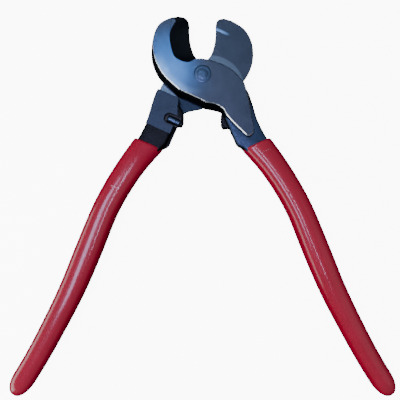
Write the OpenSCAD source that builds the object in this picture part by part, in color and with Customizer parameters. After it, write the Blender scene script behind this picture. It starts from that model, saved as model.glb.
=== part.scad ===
// Hand cable cutter: two identical drop-forged halves that lap at a flat shear
// face, one flush pivot rivet, two stop pins and two dipped grips.
//
// The tool lies flat on the ground outer face of its rear half. +Z goes up
// through the head, +Y runs towards the jaw tips, and the origin is where the
// pivot axis meets the surface the tool lies on. It is drawn fully open.

/* [Head] */
// Thickness of one half at the head; the head is twice as thick
half_t = 7.5; // [6:0.5:10]
// Pivot to jaw tip, measured along the closed tool
jaw_reach = 36.4; // [30:0.2:44]
// Pivot to the back of a jaw, measured across the closed tool
jaw_back = 22.8; // [19:0.2:28]
// How far the cutting edges pass each other in the middle when closed
edge_lap = 1.0; // [0.4:0.1:2]
// Width of the ground bevel behind a cutting edge
bevel_w = 10.8; // [8:0.2:13]
// How far a forged side wall leans in between shear face and outer face
draft = 2.4; // [1:0.1:3.5]
// Pivot to the flat on the hub that lands on the shoulder when fully open
stop_land = 15.5; // [14:0.1:17]

/* [Opening] */
// Angle each half swings out from the closed tool
open_angle = 24.3; // [18:0.1:26]
// Gap left between parts that meet at either end of the travel
stop_gap = 0.2; // [0.1:0.05:0.5]

/* [Neck] */
// Closed tool's centre line to the inner wall of a neck, on its outer side
neck_in = 1.6; // [1.2:0.1:2.6]
// How much further back the same wall lies on the side that carries the nose
neck_step = 1.2; // [0.8:0.1:2]
// Closed tool's centre line to the outer wall of a neck
neck_out = 18; // [16.4:0.2:22]
// Height of the ground flat on the inner side of a neck above the shear face
flat_t = 5.5; // [4:0.25:6.5]
// Height of the forged neck surface on the outer side above the shear face
neck_t = 4.8; // [4:0.2:6]
// How far the top of the shoulder leans back from its foot
shoulder_lean = 1.3; // [0.6:0.1:1.8]
// Pivot to the end of the ground flat
flat_end = 36.9; // [34:0.1:40]
// Pivot to the lower end of the raised pad on the outer face
pad_end = 41; // [38:0.2:44]
// Pivot to the start of the grip
grip_start = 46.5; // [44:0.5:52]

/* [Pivot] */
// Diameter of the rivet shank
rivet_d = 7.6; // [6.4:0.1:9.2]
// Diameter of the rivet's countersunk ends
rivet_head_d = 9.4; // [9.2:0.1:11.4]
// Depth of each countersunk end
rivet_head_t = 1.2; // [0.9:0.1:1.6]
// Radial running clearance in the front half
rivet_play = 0.04; // [0.02:0.01:0.08]
// How far the rivet ends sit below the ground outer faces
rivet_sink = 0.15; // [0.05:0.05:0.3]
// Gap between the two shear faces
shear_gap = 0.04; // [0.02:0.01:0.1]

/* [Stop pins] */
// Diameter of a stop pin
stop_pin_d = 4.2; // [3.4:0.1:4.6]
// Length of a stop pin
stop_pin_l = 9.6; // [8:0.1:11]
// Pivot to the stop pin axis, along the closed tool
stop_pin_y = 29.3; // [28:0.1:31]
// How far the nose around the stop pin stands past the centre line
nose_proud = 0.7; // [0.4:0.1:1]
// Width of the open pocket around the stop pin
pocket_w = 5.6; // [5:0.1:6.6]
// Length of the pocket, from the nose wall inwards
pocket_l = 8.8; // [7.6:0.1:11]

/* [Grips] */
// Pivot to the end of the grips, measured along the closed tool
handle_reach = 206.4; // [180:0.4:250]
// Width of a grip at its mouth
grip_mouth_w = 16.8; // [15:0.1:19]
// Width of a grip along the palm
grip_w = 14.8; // [13:0.1:17]
// Thickness of a grip along the palm
grip_t = 14.4; // [12:0.1:16]
// Width of a grip near its end
grip_end_w = 12.6; // [11:0.1:15]
// Thickness of the dipped coating over the tang, on each edge
coat_t = 2.4; // [1.6:0.1:3.2]
// Thickness of the steel tang inside a grip
tang_t = 7; // [5:0.2:9]

/* [Hidden] */

$fn = 64;
eps = 0.02;                      // overshoot of a cut past the face it leaves
travel = 2 * open_angle;         // relative swing of the halves
shear_z = shear_gap / 2;         // each half starts this far from the shear plane
curve_steps = 6;                 // points per stretch of a smooth curve
shoulder_y = -(stop_land + stop_gap);
stop_pin_z = -flat_t / 2 - 0.25; // pin axis, on the inner side of the shear face
nose_wall = 1.6;                 // steel between the nose face and the pocket
nose_x = -nose_proud;
stop_pin_x = stop_gap - neck_in; // pin face, which meets the other neck when closed

// ---- Curves -------------------------------------------------------------

// One point of a Catmull-Rom curve between b and c, at u from 0 to 1
function blend(a, b, c, d, u) =
    0.5 * (2 * b + (c - a) * u + (2 * a - 5 * b + 4 * c - d) * u * u
        + (3 * b - a - 3 * c + d) * u * u * u);

// A smooth open curve through all the knots
function smooth(k, steps = curve_steps) =
    let (n = len(k))
    [for (i = [0 : n - 2], s = [0 : steps - 1])
        blend(k[max(i - 1, 0)], k[i], k[i + 1], k[min(i + 2, n - 1)], s / steps),
     k[n - 1]];

function flat(p) = [p[0], p[1]];
function unit(v) = v / norm(v);
function turn(p, a) = [p[0] * cos(a) - p[1] * sin(a), p[0] * sin(a) + p[1] * cos(a)];
// Point i of the head outline moved inwards by d
function inset(i, d) =
    let (n = len(head_low), h = unit(head_low[(i + 1) % n] - head_low[(i + n - 1) % n]))
    head_low[i] + d * [-h[1], h[0]];

// ---- Outline of the head, closed pose, jaw on the left -------------------
// Third value: how far the outer face lies inside this outline.

jx = jaw_back / 22.8;            // jaw shapes follow the jaw's two driving sizes
jy = jaw_reach / 36.4;

// The cutting edge, from the throat up and round the tip
edge_knots = [
    [edge_lap + 0.9, 10.4 * jy],
    [edge_lap + 0.2, 12.6 * jy],
    [edge_lap, 15 * jy],
    [edge_lap + 0.6 * jx, 19.6 * jy],
    [edge_lap + 2.2 * jx, 25 * jy],
    [edge_lap + 4.1 * jx, 29.2 * jy],
    [edge_lap + 4.8 * jx, 32.2 * jy],
    [edge_lap + 3.9 * jx, 34.2 * jy],
    [edge_lap + 1.6 * jx, 35.7 * jy]];
// Where the bevel behind each of those knots meets the outer face
foot_knots = [
    [edge_lap - 1.3, 9.1 * jy],
    [edge_lap - bevel_w * 0.56, 9.3 * jy],
    [edge_lap - bevel_w, 14.2 * jy],
    [edge_lap - bevel_w * 0.98, 20.4 * jy],
    [edge_lap - bevel_w * 0.78, 27 * jy],
    [edge_lap - bevel_w * 0.44, 30.6 * jy],
    [edge_lap - 2.7 * jx, 31.9 * jy],
    [edge_lap - 2.5 * jx, 33.1 * jy],
    [edge_lap - 3 * jx, 34.4 * jy]];

// Round back of the jaw, from the tip over to the hub
back_knots = [
    [-1.5 * jx, 36.4 * jy, draft * 0.55],
    [-10.2 * jx, 35 * jy, draft * 0.1],
    [-17.4 * jx, 29.6 * jy, draft * 0.4],
    [-21.9 * jx, 21 * jy, draft * 0.8],
    [-22.8 * jx, 12.8 * jy, draft],
    [-21.4 * jx, 5.8 * jy, draft]];

// Straight land on the hub that meets the shoulder when fully open
land_dir = -90 - travel;
function on_land(s) = let (p = turn([stop_land, s], land_dir)) [p[0], p[1], draft];

// From the land down into the crotch and on to the foot of the pad
crotch_knots = [
    on_land(4.4),
    [-6.3, -16.6, draft],
    [-2, -19.7, draft],
    [neck_in - 0.6, -22.4, draft * 0.6],
    [neck_in, -25.2, 1],
    [neck_in + 1.6, -30, 0.8],
    [neck_in + 4.2, -37, 0.9],
    [8, -pad_end - 0.6, 0.9],
    [11.4, -pad_end - 0.9, 0.9],
    [13.9, -pad_end + 1.4, 0.9],
    [neck_out - 1.5, -30, 0.9],
    [neck_out + 0.6, -20, 0.7],
    [neck_out + 1.4, -13.4, 0.6]];

// Upper right edge of the hub, up to the throat
hub_knots = [
    [neck_out - 0.2, -8.6, 0.5],
    [14.6, -1.9, 0.5],
    [8.1, 4.9, 0.5],
    [3.4, 8.4, 0.5]];

edge_line = smooth(edge_knots);
foot_line = smooth(foot_knots);
wall_line = concat(
    smooth(back_knots),
    [on_land(-8.4)],
    smooth(crotch_knots),
    smooth(hub_knots));
// Outline at the shear face, and the outline of the outer face
head_low = concat(edge_line, [for (p = wall_line) flat(p)]);
head_high = [for (i = [0 : len(head_low) - 1])
    i < len(edge_line) ? foot_line[i] : inset(i, wall_line[i - len(edge_line)][2])];

// ---- Neck ----------------------------------------------------------------

// Inner wall of a neck below the nose, down to the grip, set back by step
function neck_inner(step) = smooth([
    [neck_in + step, -33],
    [neck_in + step, -flat_end - 2],
    [neck_in + step + 0.2, -grip_start + 3.4],
    [neck_in + 2.6, -grip_start]]);
// Outer wall of a neck, up from the grip
neck_outer = smooth([
    [neck_out + 0.6, -grip_start],
    [neck_out + 0.1, -41],
    [neck_out, -34],
    [neck_out + 1.1, -25.6],
    [neck_out + 1.6, -18.5],
    [neck_out + 0.4, -12]]);

// Centre line of a handle
handle_len = handle_reach - grip_start;
function along(f) = -grip_start - f * handle_len;
handle_knots = [
    [neck_in + 9.6, along(-0.02)],
    [neck_in + 13.6, along(0.07)],
    [neck_in + 16.4, along(0.17)],
    [neck_in + 17.7, along(0.28)],
    [neck_in + 16.9, along(0.43)],
    [neck_in + 16.3, along(0.57)],
    [neck_in + 17, along(0.7)],
    [neck_in + 18.7, along(0.85)],
    [neck_in + 21.8, along(1)]];
// Grip width and thickness at the same knots
grip_size_knots = [
    [grip_mouth_w, grip_t * 0.9],
    [grip_w + 0.6, grip_t * 0.94],
    [grip_w, grip_t * 0.97],
    [grip_w - 0.2, grip_t],
    [grip_w + 0.2, grip_t],
    [grip_w - 0.4, grip_t * 0.97],
    [grip_end_w + 1, grip_t * 0.93],
    [grip_end_w + 0.3, grip_t * 0.89],
    [grip_end_w, grip_t * 0.86]];
handle_line = smooth(handle_knots);
grip_size = smooth(grip_size_knots);
handle_rings = len(handle_line);
function line_heading(i) =
    unit(handle_line[min(i + 1, handle_rings - 1)] - handle_line[max(i - 1, 0)]);
// Side wall of the tang: the handle line moved sideways, stopped short of the grip's end
tang_rings = handle_rings - 3;
function tang_edge(i, side) =
    let (h = line_heading(i), w = grip_size[i][0] / 2 - coat_t)
    handle_line[i] + side * w * [-h[1], h[0]];

// ---- Forged half, in the closed pose about the shear plane ----------------

// Twice the area of a triangle, positive when its corners run anticlockwise
function area(p, q, r) = (q[0] - p[0]) * (r[1] - p[1]) - (q[1] - p[1]) * (r[0] - p[0]);
// Whether the second point of a ring can be cut off with its two neighbours
function is_ear(p, ring) =
    let (a = p[ring[0]], b = p[ring[1]], c = p[ring[2]])
    area(a, b, c) > 0
    && [] == [for (i = [3 : len(ring) - 1])
        let (q = p[ring[i]])
        if (area(a, b, q) >= 0 && area(b, c, q) >= 0 && area(c, a, q) >= 0) i];
// Triangles that fill the outline p, an ear at a time all the way round
function fill(p, ring) =
    let (n = len(ring), rest = [for (i = [2 : n - 1]) ring[i]])
    n == 3 ? [ring]
    : is_ear(p, ring)
        ? concat([[ring[0], ring[1], ring[2]]], fill(p, concat(rest, [ring[0]])))
        : fill(p, concat([ring[1]], rest, [ring[0]]));

// Solid between two outlines with the same number of points
module loft(low, high, z0, z1) {
    n = len(low);
    ring = [for (i = [0 : n - 1]) i];
    polyhedron(
        points = concat([for (p = low) [p[0], p[1], z0]], [for (p = high) [p[0], p[1], z1]]),
        faces = concat(
            fill(low, ring),
            [for (t = fill(high, ring)) [n + t[2], n + t[1], n + t[0]]],
            [for (i = [0 : n - 1]) [i, n + i, (i + 1) % n]],
            [for (i = [0 : n - 1]) [(i + 1) % n, n + i, n + (i + 1) % n]]),
        convexity = 8);
}

// Jaw, hub and raised pad, with the ground bevel on the jaw
module head() {
    loft(head_low, head_high, shear_z, half_t);
}

module neck_outline(step) {
    polygon(concat(
        neck_outer,
        [[neck_out - 4, -9], [8, -12], [neck_in + step + 2, -22], [neck_in + step, -26.6]],
        neck_inner(step)));
}

// The nose that carries the stop pin, seen along the pivot
module nose_outline() {
    r = 2;
    high = pocket_w / 2 - stop_pin_y;
    low = -stop_pin_y - pocket_w / 2 + 0.4;
    polygon([
        [neck_in + 5, -20.6],
        [neck_in - 0.2, -22.8],
        [nose_x + 0.5, high + 1.4],
        [nose_x, high],
        [nose_x, low + r],
        [nose_x + r, low],
        [neck_in + neck_step, low - 0.6],
        [neck_in + 5, low - 0.6]]);
    translate([nose_x + r, low + r])
        circle(r);
}

// What the other half's head covers when the tool is closed, with its gap
module other_head() {
    translate([stop_gap, -stop_gap])
        mirror([1, 0])
            polygon(head_low);
}

module below(y, low = grip_start) {
    translate([-10, -low])
        square([neck_out + 20, low - y]);
}

// Neck below the shoulder, which fills both sides of the shear face
module core_outline() {
    difference() {
        intersection() {
            neck_outline(neck_step);
            below(-shoulder_y);
        }
        other_head();
    }
}

// Ground flat on the inner side, with the nose that carries the stop pin
module flat_outline() {
    difference() {
        union() {
            intersection() {
                neck_outline(neck_step);
                below(-shoulder_y, flat_end);
            }
            nose_outline();
        }
        other_head();
    }
}

module tang() {
    translate([0, 0, -tang_t / 2])
        linear_extrude(tang_t)
            polygon(concat(
                [for (i = [0 : tang_rings - 1]) tang_edge(i, 1)],
                [for (i = [tang_rings - 1 : -1 : 0]) tang_edge(i, -1)]));
}

// Wedge that leans the shoulder back, away from the other half's head
module shoulder_lean_cut() {
    translate([-10, shoulder_y, 0])
        rotate([90, 0, 90])
            linear_extrude(neck_out + 20)
                polygon([[eps, 0], [eps, -flat_t - eps], [-shoulder_lean, -flat_t - eps]]);
}

module pocket() {
    x0 = nose_x + nose_wall;
    translate([0, -stop_pin_y, -flat_t - eps])
        linear_extrude(flat_t + eps + stop_pin_z)
            slot_outline(x0, x0 + pocket_l, pocket_w);
}

// Slot with a square near end and a round far end
module slot_outline(x0, x1, w) {
    translate([x0, -w / 2])
        square([x1 - x0 - w / 2, w]);
    translate([x1 - w / 2, 0])
        circle(d = w);
}

module plate(z0, z1) {
    translate([0, 0, z0])
        linear_extrude(z1 - z0)
            children();
}

module forged_half(rivet_bore_d) {
    difference() {
        union() {
            head();
            plate(shear_z, neck_t) neck_outline(0);
            plate(-neck_t, shear_z + 1) core_outline();
            plate(-flat_t, -shear_z) flat_outline();
            tang();
        }
        translate([0, 0, -half_t])
            cylinder(d = rivet_bore_d, h = 2 * half_t + 1);
        rivet_head((rivet_bore_d - rivet_d) / 2, half_t + eps);
        shoulder_lean_cut();
        pocket();
        translate([nose_x - 2, -stop_pin_y, stop_pin_z])
            rotate([0, 90, 0])
                cylinder(d = stop_pin_d, h = stop_pin_x - nose_x + 2 + stop_pin_l);
    }
}

// Countersunk end of the rivet on the outer side of a half
module rivet_head(play, top) {
    base = half_t - rivet_sink - rivet_head_t;
    rotate_extrude()
        polygon([
            [0, base],
            [rivet_d / 2 + play, base],
            [rivet_head_d / 2 + play, half_t - rivet_sink],
            [rivet_head_d / 2 + play, top],
            [0, top]]);
}

module stop_pin() {
    round_end = 0.5;
    translate([stop_pin_x, -stop_pin_y, stop_pin_z])
        rotate([0, 90, 0])
            rotate_extrude()
                polygon([
                    [0, 0],
                    [stop_pin_d / 2 - round_end, 0],
                    [stop_pin_d / 2, round_end],
                    [stop_pin_d / 2, stop_pin_l - round_end],
                    [stop_pin_d / 2 - round_end, stop_pin_l],
                    [0, stop_pin_l]]);
}

// ---- Grip ------------------------------------------------------------------

grip_sides = 24;
// One point of a grip's section: a soft rectangle
function section_point(w, t, a) =
    let (c = cos(a), s = sin(a))
    [w / 2 * sign(c) * pow(abs(c), 0.8), t / 2 * sign(s) * pow(abs(s), 0.8)];

// Rings of the grip: first and last are drawn in to round the ends
function grip_ring(i, shrink, slide) =
    let (h = line_heading(i), c = handle_line[i] + slide * h)
    [for (k = [0 : grip_sides - 1])
        let (q = section_point(grip_size[i][0] * shrink, grip_size[i][1] * shrink,
                               360 * k / grip_sides))
        [c[0] - h[1] * q[0], c[1] + h[0] * q[0], q[1]]];

grip_first = 2;                  // first handle ring inside the grip
end_round = grip_end_w / 2;
grip_rings = concat(
    [grip_ring(grip_first, 0.9, 0)],
    [grip_ring(grip_first, 0.97, 0.5)],
    [for (i = [grip_first + 1 : handle_rings - 3]) grip_ring(i, 1, 0)],
    [for (a = [60 : -15 : 15])
        grip_ring(handle_rings - 1, sin(90 - (60 - a) * 1.25), end_round * (cos(a + 15) - 1))]);

module grip() {
    n = len(grip_rings);
    difference() {
        polyhedron(
            points = [for (r = grip_rings) each r],
            faces = concat(
                [[for (k = [0 : grip_sides - 1]) k]],
                [[for (k = [grip_sides - 1 : -1 : 0]) (n - 1) * grip_sides + k]],
                [for (i = [0 : n - 2], k = [0 : grip_sides - 1])
                    [i * grip_sides + k, (i + 1) * grip_sides + k,
                     i * grip_sides + (k + 1) % grip_sides]],
                [for (i = [0 : n - 2], k = [0 : grip_sides - 1])
                    [i * grip_sides + (k + 1) % grip_sides, (i + 1) * grip_sides + k,
                     (i + 1) * grip_sides + (k + 1) % grip_sides]]),
            convexity = 6);
        tang();
        translate([-10, -grip_start, -half_t - 1])
            cube([neck_out + 30, 20, 2 * half_t + 2]);
    }
}

// ---- Placing ---------------------------------------------------------------

// The front half keeps its outer face up; the rear half is the same part rolled
// over about the long axis of the tool
module place_front() {
    translate([0, 0, half_t])
        rotate([0, 0, open_angle])
            children();
}

module place_rear() {
    translate([0, 0, half_t])
        rotate([0, 0, -open_angle])
            rotate([0, 180, 0])
                children();
}

module rear_half() {
    color("slategray")
        place_rear()
            forged_half(rivet_d);
}

module front_half() {
    color("lightsteelblue")
        place_front()
            forged_half(rivet_d + 2 * rivet_play);
}

module pivot_rivet() {
    color("silver")
        translate([0, 0, half_t]) {
            cylinder(d = rivet_d, h = 2 * (half_t - rivet_sink - rivet_head_t), center = true);
            for (flip = [0, 180])
                rotate([flip, 0, 0])
                    rivet_head(0, half_t - rivet_sink);
        }
}

module rear_stop_pin() {
    color("gainsboro")
        place_rear()
            stop_pin();
}

module front_stop_pin() {
    color("gainsboro")
        place_front()
            stop_pin();
}

module rear_grip() {
    color("crimson")
        place_rear()
            grip();
}

module front_grip() {
    color("crimson")
        place_front()
            grip();
}

rear_half();
front_half();
pivot_rivet();
rear_stop_pin();
front_stop_pin();
rear_grip();
front_grip();
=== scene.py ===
import math

import bpy
import numpy as np
from mathutils import Matrix, Vector


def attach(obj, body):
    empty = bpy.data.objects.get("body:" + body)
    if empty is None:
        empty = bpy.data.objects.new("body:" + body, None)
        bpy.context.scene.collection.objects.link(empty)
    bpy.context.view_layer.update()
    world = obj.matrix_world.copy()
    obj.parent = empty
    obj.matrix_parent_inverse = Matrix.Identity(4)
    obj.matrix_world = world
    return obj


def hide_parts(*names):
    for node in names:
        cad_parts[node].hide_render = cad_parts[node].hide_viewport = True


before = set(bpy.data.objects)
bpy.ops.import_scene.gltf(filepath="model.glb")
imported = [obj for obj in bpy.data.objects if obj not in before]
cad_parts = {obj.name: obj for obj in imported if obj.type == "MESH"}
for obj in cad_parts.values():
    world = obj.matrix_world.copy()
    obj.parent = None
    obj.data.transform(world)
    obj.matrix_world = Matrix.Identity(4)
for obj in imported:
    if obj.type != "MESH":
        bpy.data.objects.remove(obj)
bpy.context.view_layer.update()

# The cutter is built in millimetres, one half at a time in its closed pose:
# pivot at the origin, jaw on the left, +Z out of that half's own outer face.
MM = 0.001

HALF_T = 7.5          # one half's thickness at the head
OPEN_ANGLE = 24.3     # each half swings out by this from the closed tool
STOP_LAND = 15.5      # pivot to the hub's straight land
STOP_GAP = 0.2        # clearance where the two halves stop on one another
SHEAR_PLAY = 0.02     # each half's share of the gap at the shear face
DRAFT = 2.4           # how far a forged wall leans in
BEVEL_W = 10.8
HOLLOW = 0.35         # depth of the hollow in the bevel
EDGE_LAP = 1.0        # how far a cutting edge passes the centre line when closed
WALL_BREAK = 0.25     # broken corner of a forged wall at the shear face
EDGE_BREAK = 0.06     # the same along the cutting edge
WALL_RIM = 0.42       # broken corner of a forged wall at the outer face
EDGE_RIM = 0.12       # the same above the bevel
TIP_RIM_LOSS = 0.3    # how much narrower that rim gets at the jaw's tip
TIP_DRAW = 1.1        # how far the outer face draws back at the tip
NECK_IN = 1.6         # a neck's inner wall, from the centre line
NECK_STEP = 1.2       # the wall on the nose side lies this much further back
NECK_OUT = 18.0       # and its outer wall
NECK_T = 4.8          # neck's thickness on each side of the shear face
CORE_RISE = 1.0       # how far a neck's inner side runs up into its own head
FLAT_T = 5.5          # height of the ground flat on the inner side
FLAT_PROUD = 0.04     # how far its walls stand inside the neck's
FLAT_RISE = 0.9       # how far it runs up into the head
FLAT_BREAK = (0.4, 0.35)   # its broken edge, across and down
FLAT_END = 36.9
PAD_END = 41.0        # end of the raised pad on the outer side
GRIP_START = 46.5     # pivot to the mouth of a grip
SHOULDER_Y = -(STOP_LAND + STOP_GAP)
SHOULDER_LEAN = 1.3   # how far the shoulder leans back over the flat's height
PIN_D = 4.2
PIN_L = 9.6
PIN_Y = 29.3
PIN_DOME = 1.1        # rounding of a pin's ends
PIN_X = STOP_GAP - NECK_IN
PIN_Z = -FLAT_T / 2 - 0.25
NOSE_X = -0.7         # face of the nose that carries the pin
NOSE_WALL = 1.6       # steel between that face and the pocket
POCKET_W = 5.6
POCKET_L = 8.8
POCKET_LIP = 0.35     # worn flare round the pocket's mouth
RIVET_R = 3.8
RIVET_END_R = 4.7
RIVET_SINK = 0.15     # how far the rivet's ends lie below the faces
RIVET_PLAY = 0.04
HANDLE_REACH = 206.4
HANDLE_LEN = HANDLE_REACH - GRIP_START
GRIP_T = 14.4         # a grip's thickness along the pivot
GRIP_LIP = 1.1        # rolled lip at its mouth
GRIP_END = 11.0       # length of its rounded end
GRIP_SQUARE = 0.84    # below 1 the section is squarer than an ellipse
BEYOND = 9            # how far a cutting solid reaches past what it cuts

STEPS = 14            # points that a curve gets between two knots

# ---------------------------------------------------------------- curves


def smooth(knots, steps=STEPS):
    """A smooth open curve through all the knots."""
    k = np.array(knots, float)
    n = len(k)
    out = []
    for i in range(n - 1):
        a, b, c, d = k[max(i - 1, 0)], k[i], k[i + 1], k[min(i + 2, n - 1)]
        for s in range(steps):
            u = s / steps
            out.append(0.5 * (2 * b + (c - a) * u + (2 * a - 5 * b + 4 * c - d) * u ** 2
                              + (3 * b - a - 3 * c + d) * u ** 3))
    out.append(k[-1])
    return np.array(out)


def inward(loop):
    """Unit vectors into a loop that runs anticlockwise."""
    step = np.roll(loop, -1, 0) - np.roll(loop, 1, 0)
    step /= np.maximum(np.linalg.norm(step, axis=1), 1e-9)[:, None]
    return np.stack([-step[:, 1], step[:, 0]], 1)


def soften(loop, times=3):
    """Rounds the corners of a closed loop by cutting them again and again."""
    p = np.array(loop, float)
    for _ in range(times):
        q = np.roll(p, -1, 0)
        p = np.stack([0.75 * p + 0.25 * q, 0.25 * p + 0.75 * q], 1).reshape(-1, 2)
    return p


def resample(loop, gap):
    """Points an even gap apart round a closed loop."""
    p = np.vstack([loop, loop[:1]])
    run = np.concatenate([[0], np.cumsum(np.linalg.norm(np.diff(p, axis=0), axis=1))])
    n = max(int(run[-1] / gap), 8)
    s = np.arange(n) * run[-1] / n
    return np.stack([np.interp(s, run, p[:, j]) for j in range(2)], 1)


def on_land(s):
    """A point of the hub's straight land, s along it, with the wall's draft."""
    a = math.radians(-90 - 2 * OPEN_ANGLE)
    return [STOP_LAND * math.cos(a) - s * math.sin(a),
            STOP_LAND * math.sin(a) + s * math.cos(a), DRAFT]


EDGE = smooth([
    [EDGE_LAP + 0.9, 10.4], [EDGE_LAP + 0.2, 12.6], [EDGE_LAP, 15], [EDGE_LAP + 0.6, 19.6],
    [EDGE_LAP + 2.2, 25], [EDGE_LAP + 4.1, 29.2], [EDGE_LAP + 4.8, 32.2],
    [EDGE_LAP + 3.9, 34.2], [EDGE_LAP + 1.6, 35.7]])
FOOT = smooth([
    [EDGE_LAP - 1.3, 9.1], [EDGE_LAP - BEVEL_W * 0.56, 9.3], [EDGE_LAP - BEVEL_W, 14.2],
    [EDGE_LAP - BEVEL_W * 0.98, 20.4], [EDGE_LAP - BEVEL_W * 0.78, 27],
    [EDGE_LAP - BEVEL_W * 0.44, 30.6], [EDGE_LAP - 2.7, 31.9], [EDGE_LAP - 2.5, 33.1],
    [EDGE_LAP - 3.0, 34.4]])
# Third value: how far the outer face lies inside the outline
BACK = smooth([
    [-1.5, 36.4, 1.32], [-10.2, 35, 0.24], [-17.4, 29.6, 0.96], [-21.9, 21, 1.92],
    [-22.8, 12.8, DRAFT], [-21.4, 5.8, DRAFT], on_land(-8.4)])
LAND = np.linspace(on_land(-8.4), on_land(4.4), 24)[1:-1]
CROTCH = smooth([
    on_land(4.4), [-6.3, -16.6, DRAFT], [-2, -19.7, DRAFT], [NECK_IN - 0.6, -22.4, 1.44],
    [NECK_IN, -25.2, 1], [NECK_IN + 1.6, -30, 0.8], [NECK_IN + 4.2, -37, 0.9],
    [8, -PAD_END - 0.6, 0.9], [11.4, -PAD_END - 0.9, 0.9], [13.9, -PAD_END + 1.4, 0.9],
    [NECK_OUT - 1.5, -30, 0.9], [NECK_OUT + 0.6, -20, 0.7], [NECK_OUT + 1.4, -13.4, 0.6],
    [NECK_OUT - 0.2, -8.6, 0.5], [14.6, -1.9, 0.5], [8.1, 4.9, 0.5], [3.4, 8.4, 0.5]])
WALL = np.vstack([BACK, LAND, CROTCH])
HEAD_LOW = np.vstack([EDGE, WALL[:, :2]])
IS_BEVEL = np.arange(len(HEAD_LOW)) < len(EDGE)
HEAD_IN = inward(HEAD_LOW)
HEAD_HIGH = np.vstack([FOOT, WALL[:, :2] + HEAD_IN[len(EDGE):] * WALL[:, 2:]])
# the outer face draws back from the tip, which is rounded over above the bevel
TIP = np.clip(1 - np.arange(len(WALL)) / STEPS, 0, 1) ** 2
HEAD_HIGH[len(EDGE):, 0] -= TIP_DRAW * TIP
# and the bevel loses its hollow over the last few knots before the tip
BLUNT = np.clip((np.arange(len(EDGE)) / STEPS - 4.6) / 2.4, 0, 1)
BLUNT = np.concatenate([BLUNT, np.zeros(len(WALL))])


def neck_loop(step):
    """Outline of a neck, run on a little way into the grip."""
    outer = smooth([
        [NECK_OUT + 1.5, -GRIP_START - 2.4], [NECK_OUT + 0.6, -GRIP_START],
        [NECK_OUT + 0.1, -41], [NECK_OUT, -34], [NECK_OUT + 1.1, -25.6],
        [NECK_OUT + 1.6, -18.5], [NECK_OUT + 0.4, -12]])
    inner = smooth([
        [NECK_IN + step, -26.6], [NECK_IN + step, -33], [NECK_IN + step, -FLAT_END - 2],
        [NECK_IN + step + 0.2, -GRIP_START + 3.4], [NECK_IN + 2.6, -GRIP_START],
        [NECK_IN + 3.5, -GRIP_START - 2.4]])
    hub_side = [[NECK_OUT - 4, -9], [8, -12], [NECK_IN + step + 2, -22]]
    return resample(np.vstack([outer, hub_side, inner]), 0.5)


# ---------------------------------------------------------------- meshes

GROUND, RIM, FORGED, BEVEL, SHADE = range(5)
PLACE = "place"       # each point's millimetres in its closed half, for the finishes


def mesh_object(name, points, faces, face_mats, mats):
    """A new object from points in millimetres, with a material number for each face."""
    mesh = bpy.data.meshes.new(name)
    mesh.from_pydata((np.asarray(points) * MM).tolist(), [], faces)
    for m in mats:
        mesh.materials.append(m)
    mesh.polygons.foreach_set("material_index", face_mats)
    mesh.update()
    obj = bpy.data.objects.new(name, mesh)
    bpy.context.scene.collection.objects.link(obj)
    return obj


def stack(name, rings, bands, caps, mats):
    """A closed solid through rings of equal size, lowest first. bands: a material, or one
    per point, for each step up. caps: the material of the bottom and of the top."""
    n = len(rings[0])
    points = np.vstack(rings)
    faces, used = [], []
    for r in range(len(rings) - 1):
        for i in range(n):
            j = (i + 1) % n
            faces.append((r * n + i, r * n + j, (r + 1) * n + j, (r + 1) * n + i))
            used.append(int(np.broadcast_to(bands[r], n)[i]))
    top = (len(rings) - 1) * n
    faces += [tuple(range(n - 1, -1, -1)), tuple(range(top, top + n))]
    return mesh_object(name, points, faces, used + list(caps), mats)


def at(loop, z):
    """A flat loop lifted to one height, or to one height per point."""
    return np.column_stack([loop, np.broadcast_to(z, len(loop))])


def lathe(name, profile, sides, bands, mats, along="Z"):
    """A closed solid of revolution from (radius, height) points, both ends on the axis."""
    a = np.arange(sides) * 2 * math.pi / sides
    rings = []
    for r, h in profile:
        c, s = r * np.cos(a), r * np.sin(a)
        level = np.full(sides, float(h))
        rings.append(np.stack([c, s, level] if along == "Z" else [level, c, s], 1))
    return stack(name, rings, bands, (bands[0], bands[-1]), mats)


def prism(name, loop, z0, z1, material, mats):
    """A closed solid with one outline from bottom to top."""
    return stack(name, [at(loop, z0), at(loop, z1)], [material], (material, material), mats)


def combine(obj, others, how):
    """Joins or cuts obj with each other solid, and removes them."""
    for other in others:
        mod = obj.modifiers.new("cut", "BOOLEAN")
        mod.operation = how
        mod.solver = "MANIFOLD"
        mod.object = other
        bpy.context.view_layer.update()
        depsgraph = bpy.context.evaluated_depsgraph_get()
        mesh = bpy.data.meshes.new_from_object(obj.evaluated_get(depsgraph))
        obj.modifiers.clear()
        obj.data = mesh
        bpy.data.objects.remove(other)
    return obj


def shade(obj, angle=32):
    """Smooth shading with crisp edges where faces meet at more than an angle. Ground
    faces of a forging stay flat."""
    mesh = obj.data
    forging = len(mesh.materials) == len(STEEL)
    mesh.polygons.foreach_set("use_smooth", [not (forging and f.material_index == GROUND)
                                             for f in mesh.polygons])
    mesh.set_sharp_from_angle(angle=math.radians(angle))
    mesh.update()
    return obj


# ---------------------------------------------------------------- materials


def linear(hex_colour):
    """A hex sRGB colour as linear RGBA."""
    c = [int(hex_colour[i:i + 2], 16) / 255 for i in (1, 3, 5)]
    return [v / 12.92 if v <= 0.04045 else ((v + 0.055) / 1.055) ** 2.4 for v in c] + [1.0]


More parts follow.
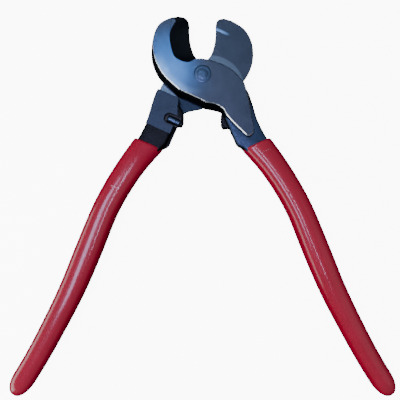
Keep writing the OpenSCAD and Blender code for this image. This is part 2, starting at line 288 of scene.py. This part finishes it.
class Shader:
    """A material under construction; add() makes one node and wires its inputs."""

    def __init__(self, name, **constants):
        self.material = bpy.data.materials.new(name)
        self.material.use_nodes = True
        self.tree = self.material.node_tree
        self.surface = self.tree.nodes["Principled BSDF"]
        self.set(self.surface, {k.replace("_", " "): v for k, v in constants.items()})
        self.place = self.add("ShaderNodeAttribute", attribute_name=PLACE).outputs["Vector"]

    def set(self, node, inputs):
        for key, value in inputs.items():
            socket = node.inputs[key]
            if isinstance(value, bpy.types.NodeSocket):
                self.tree.links.new(value, socket)
            else:
                socket.default_value = value

    def add(self, kind, inputs=None, **props):
        node = self.tree.nodes.new(kind)
        for key, value in props.items():
            setattr(node, key, value)
        self.set(node, inputs or {})
        return node

    def noise(self, size_mm, detail=3.0, stretch=(1, 1, 1), rough=0.5):
        """Noise whose blotches are about size_mm across."""
        mapped = self.add("ShaderNodeMapping", {"Vector": self.place, "Scale": stretch})
        return self.add("ShaderNodeTexNoise", {
            "Vector": mapped.outputs[0], "Scale": 1 / size_mm, "Detail": detail,
            "Roughness": rough}).outputs["Fac"]

    def ranged(self, value, low, high, to_low=0.0, to_high=1.0):
        """Eases from to_low where value is low to to_high where it is high."""
        return self.add("ShaderNodeMapRange", {
            "Value": value, "From Min": low, "From Max": high, "To Min": to_low,
            "To Max": to_high}, clamp=True, interpolation_type="SMOOTHSTEP").outputs[0]

    def spread(self, noise, to_low, to_high):
        """The range that most of a noise covers, as a range of another value."""
        return self.ranged(noise, 0.3, 0.7, to_low, to_high)

    def math(self, how, a, b=0.0):
        return self.add("ShaderNodeMath", {0: a, 1: b}, operation=how).outputs[0]

    def times(self, first, *others):
        for other in others:
            first = self.math("MULTIPLY", first, other)
        return first

    def off(self, value, centre):
        """How far a value is from centre, either way."""
        return self.math("ABSOLUTE", self.math("SUBTRACT", value, centre))

    def mix(self, factor, a, b):
        """Blends two colours; 6, 7 and the third output are the node's colour sockets."""
        return self.add("ShaderNodeMix", {0: factor, 6: a, 7: b}, data_type="RGBA").outputs[2]

    def bump(self, height, depth_mm, below=None):
        """Relief of a given depth, over another bump's if below is given."""
        inputs = {"Height": height, "Distance": depth_mm * MM, "Strength": 1.0}
        if below:
            inputs["Normal"] = below
        return self.add("ShaderNodeBump", inputs).outputs[0]

    def axes(self):
        """Millimetres across, along and up in the closed half."""
        return self.add("ShaderNodeSeparateXYZ", {0: self.place}).outputs

    def away(self, x, y):
        """Millimetres from a point of the half, seen along the pivot."""
        flat = self.add("ShaderNodeVectorMath", {0: self.place, 1: (1, 1, 0)},
                        operation="MULTIPLY").outputs[0]
        return self.add("ShaderNodeVectorMath", {0: flat, 1: (x, y, 0)},
                        operation="DISTANCE").outputs["Value"]

    def done(self, **inputs):
        self.set(self.surface, {k.replace("_", " "): v for k, v in inputs.items()})
        return self.material


def ground_steel():
    """Tool steel, surface-ground and lightly oiled: fine straight grind marks, a blue
    cast painted in as reflected pale sky, paler where the faces rub on one another round the
    pivot."""
    m = Shader("ground tool steel", Metallic=1.0)
    x, y, z = m.axes()
    blotch = m.noise(9, 3)
    marks = m.noise(0.25, 2, stretch=(0.06, 1, 1))
    wear = m.noise(2.2, 4)
    # painted reflection: the base is tinted blue as if mirroring a pale sky, in random blotches
    body = m.mix(blotch, linear("#2e3642"), linear("#3c4554"))
    # painted reflection: the jaw's outer face is painted bluer, as if mirroring a pale sky, and
    # brighter towards its back
    outer = m.ranged(z, 4, 6)
    on_jaw = m.times(m.ranged(y, -14, 12), m.ranged(x, 6, -12), m.ranged(y, 36, 18))
    body = m.mix(m.times(on_jaw, outer), body, linear("#365f90"))
    # painted highlight: a pale blue glow on the jaw's face near its back
    glow = m.times(m.ranged(m.away(-15.5, 7), 13, 3), outer)
    body = m.mix(m.times(glow, 0.4), body, linear("#5585b8"))
    # and a painted highlight, pale blue, along the curve of its back
    back = m.times(m.ranged(m.away(9, 13), 23.5, 29.5), outer,
                   m.ranged(y, 22, 12), m.ranged(y, -10, 0))
    body = m.mix(m.times(back, 0.6), body, linear("#86aed6"))
    # painted shade: the flat on the neck is painted darker than the other ground faces, in random
    # blotches
    dull = m.mix(wear, linear("#212934"), linear("#29323f"))
    body = m.mix(m.ranged(z, -3, -5), body, dull)
    # bearing zone that the other hub polishes, the heel that it wipes when open, and
    # a dark patch where the other half's head lies over the shear face: painted shade and dirt
    shear = m.times(m.ranged(z, 3, 1), m.ranged(z, -3, -1))
    zone = m.times(m.ranged(m.away(-6.66, -4.45), 20.2, 19), m.ranged(y, -12, -8))
    heel = m.ranged(x, 6, 11)
    film = m.times(m.ranged(x, 10, 5), m.ranged(y, -9, -14))
    body = m.mix(m.times(zone, shear, 0.75), body, linear("#505f6f"))
    body = m.mix(m.times(heel, shear, 0.9), body, linear("#4f6174"))
    # painted shade and dirt: the patch beside the other half's head
    body = m.mix(m.times(film, shear), body, linear("#1f2937"))
    # one bright rub across the jaw near its tip
    rub = m.times(m.ranged(m.off(y, 28.4), 1.1, 0.2), m.ranged(x, -4.6, 1),
                  m.ranged(x, 6.2, 4))
    body = m.mix(m.times(rub, shear), body, linear("#6a8fc0"))
    rough = m.ranged(m.math("ADD", wear, marks), 0.6, 1.4, 0.34, 0.46)
    return m.done(Base_Color=body, Roughness=rough, Normal=m.bump(marks, 0.012))


def rim_steel():
    """The same steel where an edge was broken on a fine belt: brighter and smoother."""
    m = Shader("belt-ground steel edge", Metallic=1.0)
    x, y, z = m.axes()
    wear = m.noise(1.6, 3)
    bright = m.mix(wear, linear("#a9b6c4"), linear("#e6ebf0"))
    # painted shade: the rim is painted dark round the jaw's tip, where it is rolled over, round
    # the hub and on the inner side
    dark = m.math("MAXIMUM", m.ranged(y, 26, 31), m.ranged(z, 0, -2))
    upper = m.times(m.ranged(x, 1, 5), m.ranged(y, -12, -7))
    dark = m.math("MAXIMUM", dark, upper)
    # the dark colour here is painted shade
    return m.done(Base_Color=m.mix(dark, bright, linear("#202a36")),
                  Roughness=m.spread(wear, 0.22, 0.36))


def forged_steel():
    """Drop-forged steel under black heat-treatment scale: dark, slightly grainy."""
    m = Shader("black forged steel", Metallic=0.9)
    _, y, z = m.axes()
    grain = m.noise(0.5, 5, rough=0.6)
    patch = m.noise(6, 3)
    colour = m.mix(patch, linear("#07090c"), linear("#11151b"))
    # painted sheen: the outer side of the neck is painted a lighter blue, as if its rounded
    # forging caught the pale light
    neck_sheen = m.times(m.ranged(z, 3, 4.6), m.ranged(y, -22, -30))
    colour = m.mix(neck_sheen, colour, m.mix(patch, linear("#1c2738"), linear("#2f3f58")))
    return m.done(Base_Color=colour, Roughness=m.spread(grain, 0.34, 0.5),
                  Normal=m.bump(grain, 0.03))


def bevel_steel():
    """Cutting bevel, milled, painted near black: a painted reflection of the dark that it faces.
    """
    m = Shader("hardened bevel steel", Metallic=0.8)
    marks = m.noise(0.3, 2, stretch=(1, 0.1, 0.4))
    patch = m.noise(5, 3)
    # painted reflection: near black, as the bevel mirrors dark surroundings
    colour = m.mix(patch, linear("#080c12"), linear("#131a23"))
    return m.done(Base_Color=colour, Roughness=m.spread(marks, 0.34, 0.48),
                  Normal=m.bump(marks, 0.01))


def shade_steel():
    """Inside of a milled pocket, painted black as the shade in that recess."""
    m = Shader("milled steel in painted pocket shade", Metallic=0.4)
    grain = m.noise(0.8, 4)
    return m.done(Base_Color=m.mix(grain, linear("#0a0e14"), linear("#1c232c")),
                  Roughness=m.spread(grain, 0.4, 0.6))


def pin_steel():
    """Hardened dowel pin, centreless ground: dark blue-grey under a thin oily film."""
    m = Shader("ground dowel pin steel", Metallic=1.0)
    x, _, _ = m.axes()
    marks = m.noise(0.3, 2, stretch=(1, 0.1, 0.1))
    film = m.noise(2.5, 3)
    side = m.mix(film, linear("#202c3c"), linear("#354356"))
    # the end that strikes the other neck is painted darker
    struck = m.ranged(x, 1.2, -0.4)
    return m.done(Base_Color=m.mix(struck, side, linear("#1d2025")),
                  Roughness=m.spread(marks, 0.24, 0.38),
                  Normal=m.bump(marks, 0.003))


def rivet_steel():
    """Rivet end, peened and ground off with the face."""
    m = Shader("ground rivet steel", Metallic=1.0)
    marks = m.noise(0.25, 2, stretch=(0.06, 1, 1))
    spot = m.noise(2, 4)
    return m.done(Base_Color=m.mix(spot, linear("#2f3d50"), linear("#3d4f68")),
                  Roughness=m.spread(marks, 0.34, 0.44),
                  Normal=m.bump(marks, 0.012))


def dipped_pvc(name, mark, dull_mouth):
    """Hot-dipped PVC: thick glossy red skin with the slow waves of a coating that ran
    before it set. mark is a small ridge across the grip, painted paler as a highlight: its
    place, half its width and the pitch of its dots, or 0 for a plain nick. A dull mouth has lost
    its gloss."""
    coat = 0.4
    m = Shader(name, IOR=1.26, Coat_Weight=coat, Coat_Roughness=0.11)
    x, y, _ = m.axes()
    patch = m.noise(16, 2)
    waves = m.noise(14, 0, stretch=(1, 0.35, 1))
    place_x, place_y, half_w, dots = mark
    ridge_and_glint = m.times(m.ranged(m.off(y, place_y), 0.7, 0.1),
                    m.ranged(m.off(x, place_x), half_w + 0.4, half_w))
    if dots:
        beat = m.math("SINE", m.times(x, 2 * math.pi / dots))
        ridge_and_glint = m.times(ridge_and_glint, m.ranged(beat, -0.3, 0.6))
    colour = m.mix(patch, linear("#7c001b"), linear("#8c0224"))
    # painted highlight: the ridge is painted pale pink
    colour = m.mix(m.times(ridge_and_glint, 0.35), colour, linear("#d4788a"))
    rough = m.spread(waves, 0.26, 0.34)
    if dull_mouth:
        mouth = m.ranged(y, -70, -54)
        rough = m.math("ADD", rough, m.times(mouth, 0.3))
        m.done(Coat_Weight=m.ranged(y, -70, -54, coat, 0))
    return m.done(Base_Color=colour, Roughness=rough,
                  Normal=m.bump(ridge_and_glint, 0.35, m.bump(waves, 0.05)))


STEEL = [ground_steel(), rim_steel(), forged_steel(), bevel_steel(), shade_steel()]
PIN = pin_steel()
RIVET = rivet_steel()
PVC = {"rear": dipped_pvc("dipped red PVC nicked", (18.2, -76.0, 2.4, 0), True),
       "front": dipped_pvc("dipped red PVC dotted", (12.8, -52.5, 4.0, 1.3), False)}

# ---------------------------------------------------------------- forged half


def head():
    """Jaw, hub and raised pad: forged wall with a belt-broken rim, hollow bevel."""
    high_in = inward(HEAD_HIGH)
    at_tip = np.concatenate([np.zeros(len(EDGE)), TIP])
    broken = np.where(IS_BEVEL, EDGE_BREAK, WALL_BREAK)
    rim = np.where(IS_BEVEL, EDGE_RIM, WALL_RIM - TIP_RIM_LOSS * at_tip)
    foot_z = broken + SHEAR_PLAY
    rings = [at(HEAD_LOW + HEAD_IN * broken[:, None], SHEAR_PLAY)]
    steps = 9
    for k in range(steps + 1):
        t = k / steps
        lean = np.where(IS_BEVEL, t ** (1 + 1.3 * BLUNT), t ** 1.7)
        hollow = np.where(IS_BEVEL, HOLLOW * math.sin(math.pi * t) * (1 - BLUNT), 0)
        z = foot_z + (HALF_T - rim - foot_z) * t - hollow
        rings.append(at(HEAD_LOW + (HEAD_HIGH - HEAD_LOW) * lean[:, None], z))
    rings.append(at(HEAD_HIGH + high_in * rim[:, None], HALF_T))
    side = np.where(IS_BEVEL, BEVEL, FORGED)
    top = np.where(IS_BEVEL, BEVEL, RIM)
    return stack("head", rings, [side] * (steps + 1) + [top], (GROUND, GROUND), STEEL)


def rounded_plate(name, loop, z_root, z_face, bands, cap, reach=2.0, root_reach=0.0):
    """A plate with a forging's rounded edge towards z_face, and at its root if asked."""
    n = inward(loop)
    s = 1 if z_face > z_root else -1

    def rounded(z, way, r):
        return [at(loop + n * r * 0.8 * (1 - math.cos(c)), z - way * r * (1 - math.sin(c)))
                for c in np.radians([25, 50, 70, 90])]

    rings = [at(loop, z_root + s * root_reach), at(loop, z_face - s * reach)]
    rings += rounded(z_face, s, reach)
    if root_reach:
        rings = rounded(z_root, -s, root_reach)[::-1] + rings
    if s < 0:
        rings.reverse()
    caps = (bands, cap) if s > 0 else (cap, bands)
    return stack(name, rings, [bands] * (len(rings) - 1), caps, STEEL)


def nose_loop():
    """Outline of the nose that carries the stop pin."""
    high = POCKET_W / 2 - PIN_Y
    low = -PIN_Y - POCKET_W / 2 + 0.4
    loop = soften([
        [NECK_IN + 6, -19], [NECK_IN - 0.2, -22.4], [NOSE_X + 0.9, high + 1.8],
        [NOSE_X + 0.1, high + 0.1], [NOSE_X, high - 1.5], [NOSE_X + 0.1, low + 2.0],
        [NOSE_X + 0.8, low + 0.4], [NECK_IN + NECK_STEP, low - 0.9],
        [NECK_IN + 6, low - 1.0]], 2)
    return resample(loop, 0.35)


def neck_core():
    """The neck's inner side: body, ground flat and nose, cut to stop the other half."""
    outline = neck_loop(NECK_STEP)
    core = rounded_plate("core", outline, CORE_RISE, -NECK_T, FORGED, FORGED)
    ledge = outline + inward(outline) * FLAT_PROUD
    across, down = FLAT_BREAK
    flat = stack("flat", [at(ledge + inward(ledge) * across, -FLAT_T),
                          at(ledge, -FLAT_T + down), at(ledge, FLAT_RISE)],
                 [RIM, FORGED], (GROUND, FORGED), STEEL)
    y_low = -GRIP_START - 6
    below_flat = prism("below", np.array([[-20, y_low], [40, y_low], [40, -FLAT_END],
                                          [-20, -FLAT_END]], float),
                       -BEYOND, 4, FORGED, STEEL)
    combine(flat, [below_flat], "DIFFERENCE")
    nose = rounded_plate("nose", nose_loop(), -SHEAR_PLAY, -FLAT_T, FORGED, FORGED, 1.6, 1.2)
    combine(core, [flat, nose], "UNION")
    lean = SHOULDER_LEAN / FLAT_T * BEYOND
    wedge = np.array([[SHOULDER_Y, 1.5], [SHOULDER_Y, 0], [SHOULDER_Y - lean, -BEYOND],
                      [20, -BEYOND], [20, 1.5]])
    ends = [np.column_stack([np.full(len(wedge), x), wedge]) for x in (-15.0, 45.0)]
    above = stack("above", ends, [FORGED], (FORGED, FORGED), STEEL)
    other_head = (HEAD_LOW * [-1, 1] + [STOP_GAP, -STOP_GAP])[::-1]
    other = prism("other", other_head, -BEYOND, 1.5, FORGED, STEEL)
    return combine(core, [above, other], "DIFFERENCE")


def rivet_bore():
    """Clearance round the shank, opening into the countersink."""
    return lathe("bore", [(RIVET_R + RIVET_PLAY, -1), (RIVET_R + RIVET_PLAY, HALF_T - 1.35),
                          (RIVET_END_R + RIVET_PLAY, HALF_T - RIVET_SINK - 0.35),
                          (RIVET_END_R + RIVET_PLAY + 0.12, HALF_T + 0.5)],
                 96, [GROUND] * 3, STEEL)


def pin_pocket():
    """Round-ended slot over the pin, its lip worn to a small flare."""
    x0 = NOSE_X + NOSE_WALL
    r = POCKET_W / 2
    turn = np.radians(np.linspace(-90, 90, 25))
    rounded_end = np.stack([x0 + POCKET_L - r + r * np.cos(turn), r * np.sin(turn)], 1)
    slot = np.vstack([[[x0, -r]], rounded_end, [[x0, r]]]) + [0, -PIN_Y]
    out = -inward(slot)
    return stack("pocket", [at(slot + out * POCKET_LIP, -FLAT_T - 1),
                            at(slot + out * (POCKET_LIP - 0.05), -FLAT_T), at(slot, -FLAT_T + 0.4),
                            at(slot, PIN_Z)], [SHADE] * 3, (SHADE, SHADE), STEEL)


def to_pin(obj):
    """Moves a solid turned about X from the pivot to the pin's own axis."""
    for v in obj.data.vertices:
        v.co += Vector((0, -PIN_Y, PIN_Z)) * MM
    return obj


def forged_half(name):
    """One forging: head, both sides of the neck, and the holes for rivet and pin."""
    half = head()
    upper = rounded_plate("upper", neck_loop(0), SHEAR_PLAY + 0.01, NECK_T, FORGED, FORGED)
    combine(half, [upper, neck_core()], "UNION")
    seat = to_pin(lathe("seat", [(PIN_D / 2, NOSE_X - 3), (PIN_D / 2, PIN_X + PIN_L)], 64,
                        [SHADE], STEEL, along="X"))
    combine(half, [rivet_bore(), pin_pocket(), seat], "DIFFERENCE")
    half.name = name
    return shade(half)


def stop_pin(name):
    """Dowel pin with rounded ends and a small centre mark at each."""
    r = PIN_D / 2
    profile = [(0.35, 0.12), (0.6, 0.0), (r - PIN_DOME, 0.0)]
    profile += [(r - PIN_DOME * (1 - math.sin(a)), PIN_DOME * (1 - math.cos(a)))
                for a in np.radians([15, 30, 45, 60, 75, 90])]
    profile += [(q, PIN_L - h) for q, h in profile[::-1]]
    profile = [(q, PIN_X + h) for q, h in profile]
    pin = lathe(name, profile, 64, [0] * (len(profile) - 1), [PIN], along="X")
    return shade(to_pin(pin), 40)


def rivet(name):
    """Shank with both ends spread into the countersinks and ground off just below the
    faces, each with a shallow turned ring."""
    face = HALF_T - RIVET_SINK
    end = [(RIVET_R, 6.2), (RIVET_END_R - 0.02, face - 0.25), (RIVET_END_R - 0.12, face - 0.06),
           (RIVET_END_R - 0.3, face), (3.2, face + 0.02), (3.05, face - 0.05), (2.9, face + 0.02),
           (1.2, face + 0.04), (0.4, face + 0.04)]
    profile = [(r, -z) for r, z in end[::-1]] + end
    return shade(lathe(name, profile, 96, [0] * (len(profile) - 1), [RIVET]), 25)


def grip(name, skin):
    """Dipped grip: a soft swept section, a rolled lip at the mouth, a rounded end."""
    def along(f):
        """How far down the tool a share f of the handle's length is."""
        return -GRIP_START - f * HANDLE_LEN

    line = smooth([
        [NECK_IN + 9.6, along(-0.02)], [NECK_IN + 13.6, along(0.07)],
        [NECK_IN + 16.4, along(0.17)], [NECK_IN + 17.7, along(0.28)],
        [NECK_IN + 16.9, along(0.43)], [NECK_IN + 16.3, along(0.57)],
        [NECK_IN + 17, along(0.7)], [NECK_IN + 18.7, along(0.85)],
        [NECK_IN + 21.8, along(1)]], 24)
    # width, and thickness as a share of the grip's, at each of those knots
    size = smooth([
        [16.8, 0.9], [15.4, 0.94], [14.8, 0.97], [14.6, 1], [15, 1],
        [14.4, 0.97], [13.6, 0.93], [12.9, 0.89], [12.6, 0.86]], 24) * [1, GRIP_T]
    run = np.concatenate([[0], np.cumsum(np.linalg.norm(np.diff(line, axis=0), axis=1))])
    mouth = np.interp(GRIP_START, -line[:, 1], run)

    def ring(s, shrink=1.0, in_by=0.0):
        """The section s along the handle, made smaller by a share and by a distance."""
        c = np.array([np.interp(s, run, line[:, j]) for j in range(2)])
        d = np.array([np.interp(min(s + 0.5, run[-1]), run, line[:, j])
                      - np.interp(s - 0.5, run, line[:, j]) for j in range(2)])
        d /= np.linalg.norm(d)
        side = np.array([-d[1], d[0]])
        # the mouth is cut square to the tool, further down the rings follow the handle
        square = 1 - min(max((s - mouth) / 9, 0), 1)
        square = square * square * (3 - 2 * square)
        side = side * (1 - square) + np.array([1, 0]) / -d[1] * square
        w = np.interp(s, run, size[:, 0]) / 2 * shrink - in_by
        h = np.interp(s, run, size[:, 1]) / 2 * shrink - in_by
        a = np.arange(72) * 2 * math.pi / 72
        u = w * np.sign(np.cos(a)) * np.abs(np.cos(a)) ** GRIP_SQUARE
        v = h * np.sign(np.sin(a)) * np.abs(np.sin(a)) ** GRIP_SQUARE
        return np.column_stack([c[0] + side[0] * u, c[1] + side[1] * u, v])

    rings = [ring(mouth + 0.02, in_by=2.4)]
    rings += [ring(mouth + GRIP_LIP * (1 - math.sin(b)), in_by=GRIP_LIP * (1 - math.cos(b)))
              for b in np.radians([90, 65, 45, 25])]
    last = run[-1] - GRIP_END
    rings += [ring(s) for s in np.arange(mouth + 1.4, last, 1.0)]
    rings += [ring(last + GRIP_END * math.sin(b), shrink=math.cos(b) ** 0.92)
              for b in np.radians([0, 12, 24, 36, 48, 58, 67, 75, 81, 86])]
    return shade(stack(name, rings, [0] * (len(rings) - 1), (0, 0), [skin]), 50)


# ---------------------------------------------------------------- assembly

LIFT = Matrix.Translation((0, 0, HALF_T * MM))
FRONT = LIFT @ Matrix.Rotation(math.radians(OPEN_ANGLE), 4, "Z")
REAR = (LIFT @ Matrix.Rotation(math.radians(-OPEN_ANGLE), 4, "Z")
        @ Matrix.Rotation(math.pi, 4, "Y"))


def keep_place(mesh):
    """Writes each point's present millimetres to the mesh, for the finishes to use."""
    spots = np.empty(len(mesh.vertices) * 3, np.float32)
    mesh.vertices.foreach_get("co", spots)
    attribute = mesh.attributes.new(PLACE, "FLOAT_VECTOR", "POINT")
    attribute.data.foreach_set("vector", spots / MM)


def fit(obj, where, node, body):
    """Puts a piece in its place, hangs it on its body and hides the part of model.glb that it
    replaces.
    """
    keep_place(obj.data)
    obj.data.transform(where)
    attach(obj, body)
    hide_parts(node)


for side, where in (("rear", REAR), ("front", FRONT)):
    fit(forged_half(side + "_forging"), where, side + "_half", side)
    fit(stop_pin(side + "_dowel_pin"), where, side + "_stop_pin", side)
    fit(grip(side + "_dipped_grip", PVC[side]), where, side + "_grip", side)
fit(rivet("flush_rivet"), LIFT, "pivot_rivet", "rear")

# ---------------------------------------------------------------- setting

# In metres from here on
BOARD = 3.2
BOARD_DROP = 0.0004
EYE = (-0.00141, -0.06893, 0.2255)
VIEW_SLOPE = 113 / 218      # half the view's width over its distance

def floor():
    """Backlit white acrylic, a hair below the tool."""
    m = Shader("backlit white acrylic", Roughness=0.6, Emission_Strength=9.0)
    speck = m.noise(3, 3)
    m.done(Base_Color=m.mix(speck, linear("#fafafa"), linear("#ffffff")),
           Emission_Color=linear("#ffffff"))
    bpy.ops.mesh.primitive_plane_add(size=BOARD, location=(0, -0.07, -BOARD_DROP))
    board = bpy.context.object
    board.name = "board"
    board.data.materials.append(m.material)
    keep_place(board.data)
    # seen by the camera only, so the tool's sides mirror the dark of the room below it
    board.visible_glossy = False
    board.visible_diffuse = False


def lamp(name, size, power, place, target, colour, spin=0.0):
    """A soft rectangular lamp that faces a target, spun about the vertical."""
    light = bpy.data.lights.new(name, "AREA")
    light.shape = "RECTANGLE"
    light.size, light.size_y = size
    light.energy = power
    light.color = linear(colour)[:3]
    obj = bpy.data.objects.new(name, light)
    bpy.context.scene.collection.objects.link(obj)
    obj.location = place
    aim = (Vector(target) - Vector(place)).to_track_quat("-Z", "Y").to_matrix().to_4x4()
    obj.rotation_euler = (Matrix.Rotation(math.radians(spin), 4, "Z") @ aim).to_euler()


floor()
middle = (0, -0.06, 0)
# a window over the left handle, a thin strip along the right one, light for the jaw
# face, and a low lamp that picks out the rims
lamp("window", (0.15, 0.38), 4, (-0.265, -0.18, 0.7), (-0.265, -0.18, 0), "#d8ccff")
lamp("strip", (0.03, 0.42), 1.6, (0.0, -0.15, 0.7), (0.0, -0.15, 0), "#e6d2ff", 26.4)
lamp("jaw", (0.10, 0.10), 0.8, (-0.09, 0.26, 0.7), (-0.09, 0.26, 0), "#d8e8ff")
lamp("rims", (1.1, 0.4), 8, (-0.85, -0.30, 0.2), middle, "#ffffff")
lamp("fill", (0.8, 0.8), 0.8, (0.8, -0.3, 0.9), middle, "#ffffff")


def room():
    """Pale blue ceiling and walls over a dark floor."""
    world = bpy.data.worlds.new("room")
    world.use_nodes = True
    nodes, links = world.node_tree.nodes, world.node_tree.links
    up = nodes.new("ShaderNodeSeparateXYZ")
    links.new(nodes.new("ShaderNodeTexCoord").outputs["Generated"], up.inputs[0])
    level = nodes.new("ShaderNodeMapRange")
    level.inputs["From Min"].default_value = -0.1
    level.inputs["From Max"].default_value = 0.6
    links.new(up.outputs["Z"], level.inputs["Value"])
    blend = nodes.new("ShaderNodeMix")
    blend.data_type = "RGBA"
    # sockets 6 and 7 are the two colours
    blend.inputs[6].default_value = linear("#15181d")
    blend.inputs[7].default_value = linear("#dfe8f2")
    links.new(level.outputs[0], blend.inputs[0])
    links.new(blend.outputs[2], nodes["Background"].inputs["Color"])
    nodes["Background"].inputs["Strength"].default_value = 0.8
    bpy.context.scene.world = world


room()

# Looking straight down from above the middle of the handles
camera = bpy.data.cameras.new("camera")
camera.angle = 2 * math.atan(VIEW_SLOPE)
eye = bpy.data.objects.new("camera", camera)
bpy.context.scene.collection.objects.link(eye)
eye.location = EYE
bpy.context.scene.camera = eye
